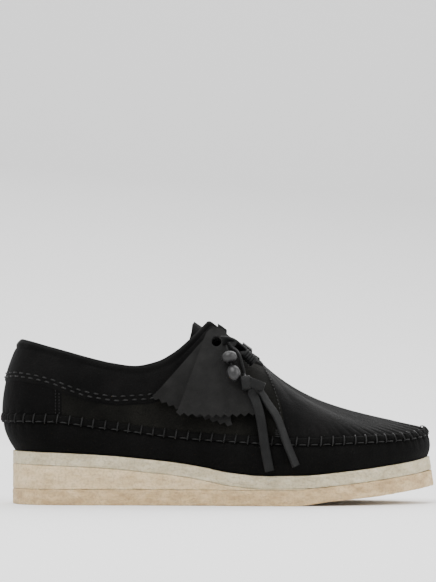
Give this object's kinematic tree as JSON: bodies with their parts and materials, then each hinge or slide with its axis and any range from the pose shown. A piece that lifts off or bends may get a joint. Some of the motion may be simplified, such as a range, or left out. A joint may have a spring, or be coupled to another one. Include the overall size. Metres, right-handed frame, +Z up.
{
  "type": "derby shoe",
  "caption": "Right derby shoe in suede with a raised moccasin seam, padded collar band, beaded lace, two leather fobs and a layered crepe wedge sole.",
  "frame": {"origin": "on the floor, under the middle of the shoe's bounding box", "axes": "+X to the toe, +Z up, +Y to the inner side of the foot"},
  "size_m": [0.294, 0.1168, 0.1232],
  "materials": {
    "suede": "black nubuck and suede, soft nap",
    "lining": "smooth unfinished leather",
    "crepe": "natural crepe, rough and mottled",
    "fob_leather": "black oiled leather, pinked lower edge",
    "lace_leather": "black cut leather lace",
    "bead": "satin paint, near black"
  },
  "bodies": {
    "root": {"outsole": "crepe", "heel_wedge": "crepe", "midsole": "crepe", "insole": "lining", "upper": "suede", "tongue": "suede", "fob_rear": "fob_leather", "fob_front": "fob_leather", "bead_round": "bead", "bead_drop": "bead", "bead_string": "lace_leather", "lace_bar_top": "lace_leather", "lace_bar_low": "lace_leather", "lace_fold": "lace_leather", "lace_drop": "lace_leather", "lace_winding": "lace_leather", "lace_knot": "lace_leather", "lace_front": "lace_leather", "lace_rear": "lace_leather"}
  },
  "joints": []
}
